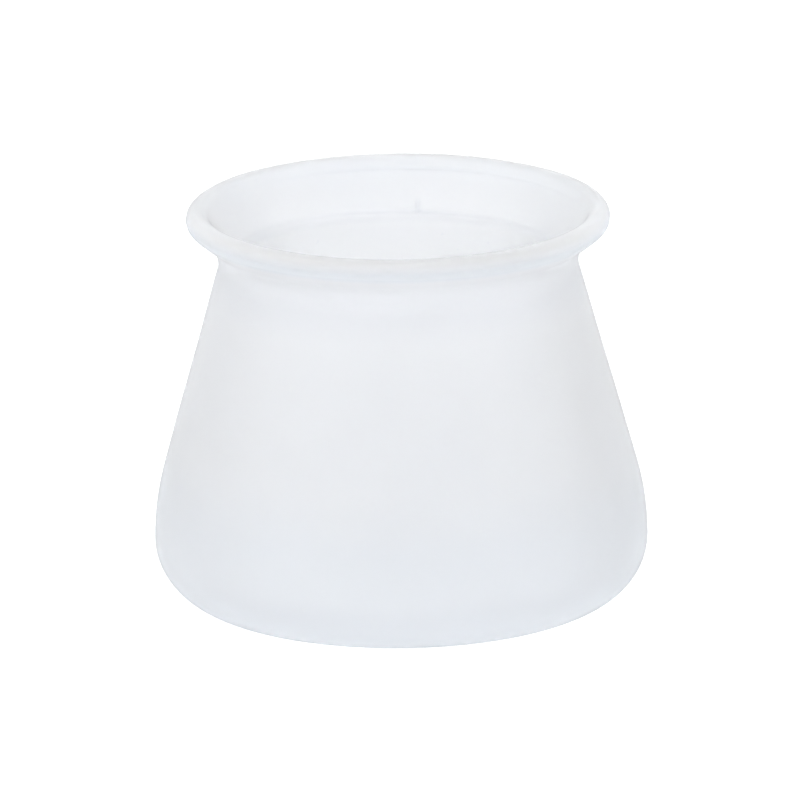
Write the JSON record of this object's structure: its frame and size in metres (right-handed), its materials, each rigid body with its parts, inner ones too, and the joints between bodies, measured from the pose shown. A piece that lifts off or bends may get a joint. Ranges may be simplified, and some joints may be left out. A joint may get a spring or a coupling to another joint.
{
  "type": "silicone cupping cup",
  "caption": "Squat soft vacuum cup with a flared rounded lip, a narrow neck, a conical squeeze wall, a round belly and a flat base.",
  "frame": {"origin": "centre of the underside, on the surface the cup stands on", "axes": "+Z along the cup's axis, from the base towards the open mouth; X and Y are free, as the cup is round"},
  "size_m": [0.07, 0.07, 0.057],
  "materials": {
    "silicone": "satin, milky translucent"
  },
  "bodies": {
    "cup_body": {"base": "silicone", "belly": "silicone", "side_wall": "silicone"},
    "mouth": {"neck": "silicone", "sealing_lip": "silicone"}
  },
  "joints": [
    {"name": "mouth_press", "type": "slide", "parent": "cup_body", "child": "mouth", "axis": [0, 0, -1], "range_m": [0, 0.01], "stiffness_N_per_m": 3000, "deforming": ["side_wall"]}
  ]
}
